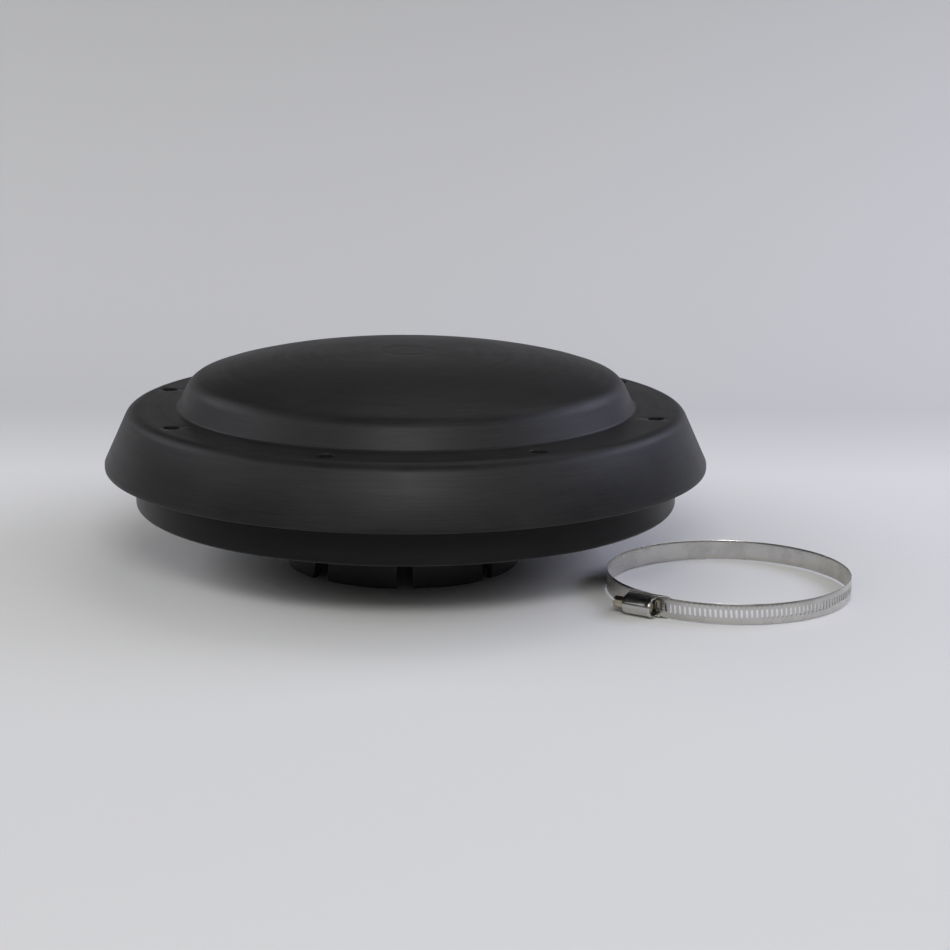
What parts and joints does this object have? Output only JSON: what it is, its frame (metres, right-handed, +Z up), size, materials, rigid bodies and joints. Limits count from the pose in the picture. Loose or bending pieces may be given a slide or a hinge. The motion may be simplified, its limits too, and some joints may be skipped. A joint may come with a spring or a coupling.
{
  "type": "vent hood",
  "caption": "Low domed weather hood for a round air intake or roof vent: air enters under the flared skirt; a worm-drive hose clamp closes its slotted collar.",
  "frame": {"origin": "the hood's axis at the lower end of the slotted collar, on the floor that the hood and the clamp stand on", "axes": "+Z up along the hood's axis, +X from the hood towards the side where the clamp lies"},
  "size_m": [0.4804, 0.3934, 0.1402],
  "materials": {
    "cover_plastic": "satin black moulded plastic with fine turned lines",
    "housing_plastic": "satin black moulded plastic",
    "screen_steel": "black coated perforated steel",
    "screw_steel": "black oxide steel",
    "insert_brass": "machined",
    "clamp_steel": "bright rolled stainless strip",
    "worm_steel": "zinc plated steel"
  },
  "bodies": {
    "hood": {"top_cover": "cover_plastic", "base_pan": "housing_plastic", "outlet_tube": "housing_plastic", "inlet_screen": "screen_steel", "cover_screw_1": "screw_steel", "cover_screw_2": "screw_steel", "cover_screw_3": "screw_steel", "cover_screw_4": "screw_steel", "cover_screw_5": "screw_steel", "cover_screw_6": "screw_steel", "cover_screw_7": "screw_steel", "cover_screw_8": "screw_steel", "threaded_insert_1": "insert_brass", "threaded_insert_2": "insert_brass", "threaded_insert_3": "insert_brass", "threaded_insert_4": "insert_brass", "threaded_insert_5": "insert_brass", "threaded_insert_6": "insert_brass", "threaded_insert_7": "insert_brass", "threaded_insert_8": "insert_brass"},
    "clamp": {"clamp_band_plain": "clamp_steel", "clamp_housing": "clamp_steel", "clamp_saddle": "clamp_steel"},
    "band_arc": {"clamp_band_slotted": "clamp_steel"},
    "band_tail": {"clamp_band_tail": "clamp_steel"},
    "worm": {"clamp_screw": "worm_steel"}
  },
  "joints": [
    {"name": "clamp_slide", "type": "slide", "parent": "hood", "child": "clamp", "axis": [0.9411, -0.3381, 0], "range_m": [0, 0.15]},
    {"name": "worm_turn", "type": "hinge", "parent": "clamp", "child": "worm", "pos_m": [0.16079, -0.14361, 0.00715], "axis": [0.8387, -0.5446, 0], "range_deg": [0, 1440]},
    {"name": "band_close", "type": "hinge", "parent": "clamp", "child": "band_arc", "pos_m": [0.24799, -0.00934, 0.00715], "axis": [0, 0, -1], "range_deg": [0, 4.75]},
    {"name": "tail_feed", "type": "slide", "parent": "clamp", "child": "band_tail", "axis": [-0.8387, 0.5446, 0], "range_m": [0, 0.0128]}
  ],
  "couplings": [
    {"joint": "band_close", "follows": "worm_turn", "ratio": 0.0032475},
    {"joint": "tail_feed", "follows": "worm_turn", "m_per_rad": 0.00050532}
  ]
}
